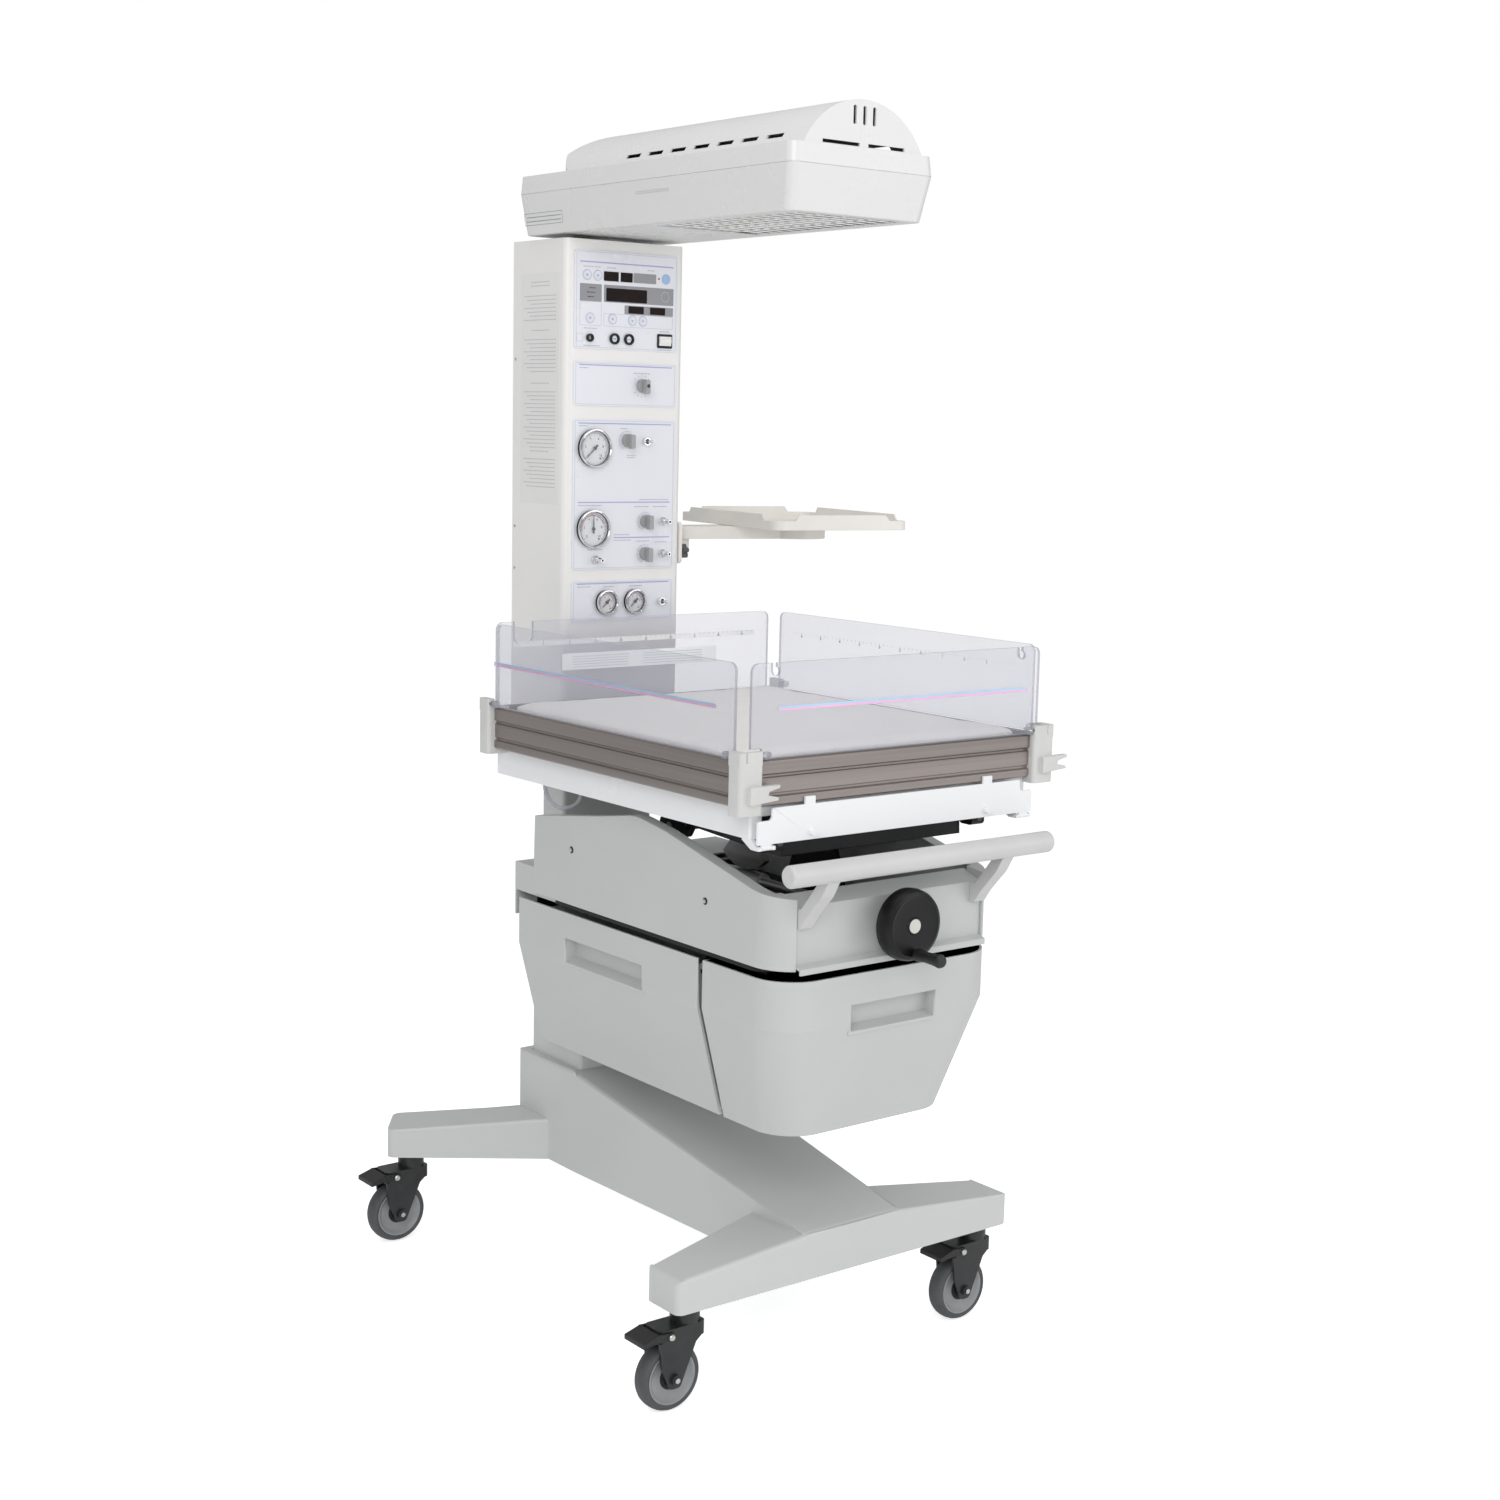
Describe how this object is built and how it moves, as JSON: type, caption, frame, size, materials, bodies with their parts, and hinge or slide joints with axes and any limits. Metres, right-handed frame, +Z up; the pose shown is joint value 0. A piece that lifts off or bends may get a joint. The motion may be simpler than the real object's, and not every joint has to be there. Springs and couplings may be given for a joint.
{
  "type": "infant radiant warmer",
  "caption": "Infant radiant warmer on a braked caster base: drawers, tilting bassinet with clear folding sides, instrument column, swinging shelf and overhead heater hood.",
  "frame": {"origin": "on the floor under the centre of the assembly's footprint, the side shelf included", "axes": "+X to the user's right at the front end, +Y towards the column's back, +Z up"},
  "size_m": [0.9085, 1.0564, 1.857],
  "materials": {
    "frame_paint": "satin powder coat",
    "chassis_black": "matt black",
    "body_plastic": "fine moulded satin",
    "handle_paint": "satin powder coat",
    "black_plastic": "satin",
    "machined_steel": "machined",
    "column_paint": "satin powder coat",
    "module_film": "printed film",
    "gauge_black": "satin",
    "window_clear": "smoked clear",
    "switch_white": "gloss",
    "fitting_chrome": "polished",
    "hood_plastic": "satin gloss",
    "guard_chrome": "polished",
    "element_metal": "oxidised",
    "shelf_cream": "satin",
    "knob_grey": "satin",
    "tray_white": "gloss powder coat",
    "rail_aluminium": "bronze anodised",
    "post_plastic": "satin",
    "clear_acrylic": "clear polished",
    "mattress_cover": "coated cloth",
    "hose_clear": "clear tube",
    "caster_black": "black coat",
    "wheel_rubber": "grey tread on a grey core",
    "pedal_black": "satin",
    "needle_black": "matt"
  },
  "bodies": {
    "frame": {"base_frame": "frame_paint", "chassis": "chassis_black", "shrouds": "body_plastic", "push_handle": "handle_paint", "column_shell": "column_paint", "rear_covers": "column_paint", "module_plates": "module_film", "gauge_cases": "gauge_black", "clear_windows": "window_clear", "panel_fittings": "fitting_chrome", "shelf_clamp": "shelf_cream"},
    "hood": {"hood_tray": "hood_plastic", "hood_cover": "hood_plastic", "heater_guard": "guard_chrome", "heater_element": "element_metal"},
    "shelf_arm": {"shelf_arm": "shelf_cream"},
    "shelf_tray": {"shelf_tray": "shelf_cream"},
    "clamp_knob": {"clamp_knob": "knob_grey"},
    "left_drawer": {"left_drawer": "body_plastic"},
    "right_drawer": {"right_drawer": "body_plastic"},
    "front_drawer": {"front_drawer": "body_plastic"},
    "bassinet": {"bassinet_tray": "tray_white", "mattress": "mattress_cover", "bassinet_rails": "rail_aluminium", "corner_posts": "post_plastic", "rear_end_panel": "clear_acrylic", "tilt_quadrant": "machined_steel", "hose": "hose_clear"},
    "left_side_panel": {"left_side_panel": "clear_acrylic"},
    "right_side_panel": {"right_side_panel": "clear_acrylic"},
    "front_end_panel": {"front_end_panel": "clear_acrylic"},
    "cassette_door": {"cassette_door": "tray_white"},
    "handwheel": {"handwheel": "black_plastic", "drive_shaft": "machined_steel"},
    "crank_grip": {"crank_grip": "black_plastic"},
    "power_rocker": {"power_rocker": "switch_white"},
    "caster_fl": {"caster_fork_fl": "caster_black"},
    "wheel_fl": {"caster_wheel_fl": "wheel_rubber"},
    "pedal_fl": {"brake_pedal_fl": "pedal_black"},
    "caster_fr": {"caster_fork_fr": "caster_black"},
    "wheel_fr": {"caster_wheel_fr": "wheel_rubber"},
    "pedal_fr": {"brake_pedal_fr": "pedal_black"},
    "caster_rl": {"caster_fork_rl": "caster_black"},
    "wheel_rl": {"caster_wheel_rl": "wheel_rubber"},
    "pedal_rl": {"brake_pedal_rl": "pedal_black"},
    "caster_rr": {"caster_fork_rr": "caster_black"},
    "wheel_rr": {"caster_wheel_rr": "wheel_rubber"},
    "pedal_rr": {"brake_pedal_rr": "pedal_black"},
    "gauge_needle_1": {"gauge_needle_1": "needle_black"},
    "gauge_needle_2": {"gauge_needle_2": "needle_black"},
    "gauge_needle_3": {"gauge_needle_3": "needle_black"},
    "gauge_needle_4": {"gauge_needle_4": "needle_black"},
    "control_knob_1": {"control_knob_1": "knob_grey"},
    "control_knob_2": {"control_knob_2": "knob_grey"},
    "control_knob_3": {"control_knob_3": "knob_grey"},
    "control_knob_4": {"control_knob_4": "knob_grey"},
    "toggle_lever_1": {"toggle_lever_1": "fitting_chrome"},
    "toggle_lever_2": {"toggle_lever_2": "fitting_chrome"}
  },
  "joints": [
    {"name": "caster_swivel_fl", "type": "hinge", "parent": "frame", "child": "caster_fl", "pos_m": [-0.36626, -0.31719, 0.153], "axis": [0, 0, 1], "continuous": true},
    {"name": "wheel_spin_fl", "type": "hinge", "parent": "caster_fl", "child": "wheel_fl", "pos_m": [-0.39626, -0.31719, 0.051], "axis": [0, 1, 0], "continuous": true},
    {"name": "pedal_press_fl", "type": "hinge", "parent": "caster_fl", "child": "pedal_fl", "pos_m": [-0.40626, -0.31719, 0.118], "axis": [0, -1, 0], "range_deg": [0, 12]},
    {"name": "caster_swivel_fr", "type": "hinge", "parent": "frame", "child": "caster_fr", "pos_m": [0.20174, -0.31719, 0.153], "axis": [0, 0, 1], "continuous": true},
    {"name": "wheel_spin_fr", "type": "hinge", "parent": "caster_fr", "child": "wheel_fr", "pos_m": [0.17174, -0.31719, 0.051], "axis": [0, 1, 0], "continuous": true},
    {"name": "pedal_press_fr", "type": "hinge", "parent": "caster_fr", "child": "pedal_fr", "pos_m": [0.16174, -0.31719, 0.118], "axis": [0, -1, 0], "range_deg": [0, 12]},
    {"name": "caster_swivel_rl", "type": "hinge", "parent": "frame", "child": "caster_rl", "pos_m": [-0.36626, 0.48181, 0.153], "axis": [0, 0, 1], "continuous": true},
    {"name": "wheel_spin_rl", "type": "hinge", "parent": "caster_rl", "child": "wheel_rl", "pos_m": [-0.39626, 0.48181, 0.051], "axis": [0, 1, 0], "continuous": true},
    {"name": "pedal_press_rl", "type": "hinge", "parent": "caster_rl", "child": "pedal_rl", "pos_m": [-0.40626, 0.48181, 0.118], "axis": [0, -1, 0], "range_deg": [0, 12]},
    {"name": "caster_swivel_rr", "type": "hinge", "parent": "frame", "child": "caster_rr", "pos_m": [0.20174, 0.48181, 0.153], "axis": [0, 0, 1], "continuous": true},
    {"name": "wheel_spin_rr", "type": "hinge", "parent": "caster_rr", "child": "wheel_rr", "pos_m": [0.17174, 0.48181, 0.051], "axis": [0, 1, 0], "continuous": true},
    {"name": "pedal_press_rr", "type": "hinge", "parent": "caster_rr", "child": "pedal_rr", "pos_m": [0.16174, 0.48181, 0.118], "axis": [0, -1, 0], "range_deg": [0, 12]},
    {"name": "left_drawer_slide", "type": "slide", "parent": "frame", "child": "left_drawer", "axis": [-1, 0, 0], "range_m": [0, 0.15]},
    {"name": "right_drawer_slide", "type": "slide", "parent": "frame", "child": "right_drawer", "axis": [1, 0, 0], "range_m": [0, 0.15]},
    {"name": "front_drawer_slide", "type": "slide", "parent": "frame", "child": "front_drawer", "axis": [0, -1, 0], "range_m": [0, 0.15]},
    {"name": "bassinet_tilt", "type": "hinge", "parent": "frame", "child": "bassinet", "pos_m": [-0.08226, -0.07319, 0.795], "axis": [-1, 0, 0], "range_deg": [-10, 8]},
    {"name": "left_side_fold", "type": "hinge", "parent": "bassinet", "child": "left_side_panel", "pos_m": [-0.37526, -0.07319, 0.96], "axis": [0, -1, 0], "range_deg": [0, 180]},
    {"name": "right_side_fold", "type": "hinge", "parent": "bassinet", "child": "right_side_panel", "pos_m": [0.21074, -0.07319, 0.96], "axis": [0, 1, 0], "range_deg": [0, 180]},
    {"name": "front_end_fold", "type": "hinge", "parent": "bassinet", "child": "front_end_panel", "pos_m": [-0.08226, -0.43219, 0.96], "axis": [1, 0, 0], "range_deg": [0, 120]},
    {"name": "cassette_door_drop", "type": "hinge", "parent": "bassinet", "child": "cassette_door", "pos_m": [-0.08226, -0.42919, 0.832], "axis": [1, 0, 0], "range_deg": [0, 85]},
    {"name": "handwheel_turn", "type": "hinge", "parent": "frame", "child": "handwheel", "pos_m": [-0.08226, -0.45319, 0.7], "axis": [0, 1, 0], "range_deg": [-300, 240]},
    {"name": "crank_grip_spin", "type": "hinge", "parent": "handwheel", "child": "crank_grip", "pos_m": [-0.08226, -0.49819, 0.66], "axis": [0, 1, 0], "continuous": true},
    {"name": "hood_swivel", "type": "hinge", "parent": "frame", "child": "hood", "pos_m": [-0.08226, 0.35681, 1.697], "axis": [0, 0, 1], "range_deg": [-90, 90]},
    {"name": "shelf_arm_swing", "type": "hinge", "parent": "frame", "child": "shelf_arm", "pos_m": [0.07774, 0.33681, 1.2053], "axis": [0, 0, 1], "range_deg": [-25, 45]},
    {"name": "shelf_tray_turn", "type": "hinge", "parent": "shelf_arm", "child": "shelf_tray", "pos_m": [0.29574, 0.30181, 1.2273], "axis": [0, 0, 1], "continuous": true},
    {"name": "clamp_knob_turn", "type": "hinge", "parent": "frame", "child": "clamp_knob", "pos_m": [0.04474, 0.29281, 1.186], "axis": [1, 0, 0], "continuous": true},
    {"name": "gauge_needle_1_sweep", "type": "hinge", "parent": "frame", "child": "gauge_needle_1", "pos_m": [-0.14476, 0.26981, 1.358], "axis": [0, 1, 0], "range_deg": [0, 270]},
    {"name": "gauge_needle_2_sweep", "type": "hinge", "parent": "frame", "child": "gauge_needle_2", "pos_m": [-0.14576, 0.26981, 1.227], "axis": [0, 1, 0], "range_deg": [-135, 135]},
    {"name": "gauge_needle_3_sweep", "type": "hinge", "parent": "frame", "child": "gauge_needle_3", "pos_m": [-0.11726, 0.26981, 1.106], "axis": [0, 1, 0], "range_deg": [0, 270]},
    {"name": "gauge_needle_4_sweep", "type": "hinge", "parent": "frame", "child": "gauge_needle_4", "pos_m": [-0.06066, 0.26981, 1.106], "axis": [0, 1, 0], "range_deg": [0, 270]},
    {"name": "control_knob_1_turn", "type": "hinge", "parent": "frame", "child": "control_knob_1", "pos_m": [-0.05076, 0.26981, 1.4604], "axis": [0, 1, 0], "range_deg": [-60, 60]},
    {"name": "control_knob_2_turn", "type": "hinge", "parent": "frame", "child": "control_knob_2", "pos_m": [-0.07876, 0.26981, 1.371], "axis": [0, 1, 0], "range_deg": [-90, 90]},
    {"name": "control_knob_3_turn", "type": "hinge", "parent": "frame", "child": "control_knob_3", "pos_m": [-0.03976, 0.26981, 1.2385], "axis": [0, 1, 0], "range_deg": [0, 270]},
    {"name": "control_knob_4_turn", "type": "hinge", "parent": "frame", "child": "control_knob_4", "pos_m": [-0.04026, 0.26981, 1.1848], "axis": [0, 1, 0], "range_deg": [0, 270]},
    {"name": "toggle_lever_1_flip", "type": "hinge", "parent": "frame", "child": "toggle_lever_1", "pos_m": [-0.04226, 0.27081, 1.37], "axis": [1, 0, 0], "range_deg": [-15, 15]},
    {"name": "toggle_lever_2_flip", "type": "hinge", "parent": "frame", "child": "toggle_lever_2", "pos_m": [-0.00696, 0.27081, 1.1045], "axis": [1, 0, 0], "range_deg": [-15, 15]},
    {"name": "power_rocker_tilt", "type": "hinge", "parent": "frame", "child": "power_rocker", "pos_m": [-0.00626, 0.27781, 1.5345], "axis": [1, 0, 0], "range_deg": [-8, 8]}
  ],
  "couplings": [
    {"joint": "handwheel_turn", "follows": "bassinet_tilt", "ratio": 30}
  ]
}
